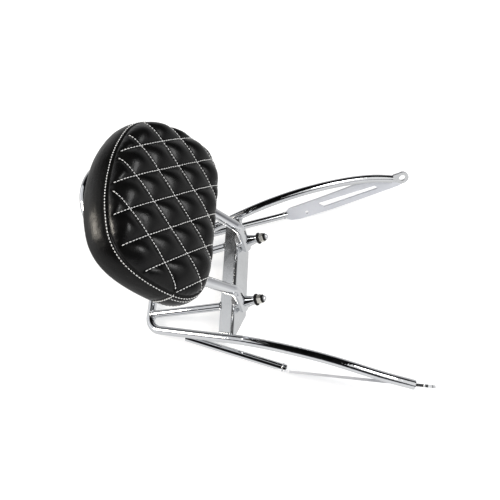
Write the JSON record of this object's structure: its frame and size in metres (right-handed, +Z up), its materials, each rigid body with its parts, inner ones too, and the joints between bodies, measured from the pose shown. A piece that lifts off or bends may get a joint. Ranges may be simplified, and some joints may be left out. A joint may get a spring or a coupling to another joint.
{
  "type": "sissy bar",
  "caption": "Chromed tube rack with slotted mounting plates and an arched backrest carrying a diamond-quilted pad, for the rear of a motorcycle.",
  "frame": {"origin": "centre of the bounding box, at the floor the part lies on", "axes": "+X towards the front of the motorcycle, where the mounting eyes are; +Y to its left; +Z up"},
  "size_m": [0.4612, 0.3766, 0.3219],
  "materials": {
    "chrome_tube": "bright chrome plate over welded steel",
    "chrome_plug": "chrome plate, flush end plugs",
    "bolt_steel": "zinc-plated steel",
    "yellow_zinc": "yellow zinc plate",
    "black_washer": "black oxide",
    "pad_face": "black grained cover, quilted, white stitching",
    "pad_gusset": "black grained cover, smooth side band",
    "pad_back": "plain black back cover",
    "pad_board": "plywood",
    "pad_foam": "open-cell foam"
  },
  "bodies": {
    "root": {"main_hoop": "chrome_tube", "rail_plugs": "chrome_plug", "left_strut": "chrome_tube", "right_strut": "chrome_tube", "cross_angle": "chrome_tube", "left_lower_brace": "chrome_tube", "right_lower_brace": "chrome_tube", "left_mount_plate": "chrome_tube", "right_mount_plate": "chrome_tube", "left_eye": "chrome_tube", "right_eye": "chrome_tube", "backrest_hoop": "chrome_tube", "leg_plugs": "chrome_plug", "leg_spacers": "chrome_tube", "leg_bolts": "bolt_steel", "bolt_washers": "black_washer", "bolt_nuts": "yellow_zinc", "upper_pad_bar": "chrome_tube", "lower_pad_bar": "chrome_tube", "pad_screw_washers": "bolt_steel", "pad_screws": "bolt_steel", "t_nuts": "bolt_steel", "pad_back_cover": "pad_back", "pad_board": "pad_board", "pad_foam": "pad_foam", "pad_gusset": "pad_gusset", "pad_face": "pad_face"}
  },
  "joints": []
}
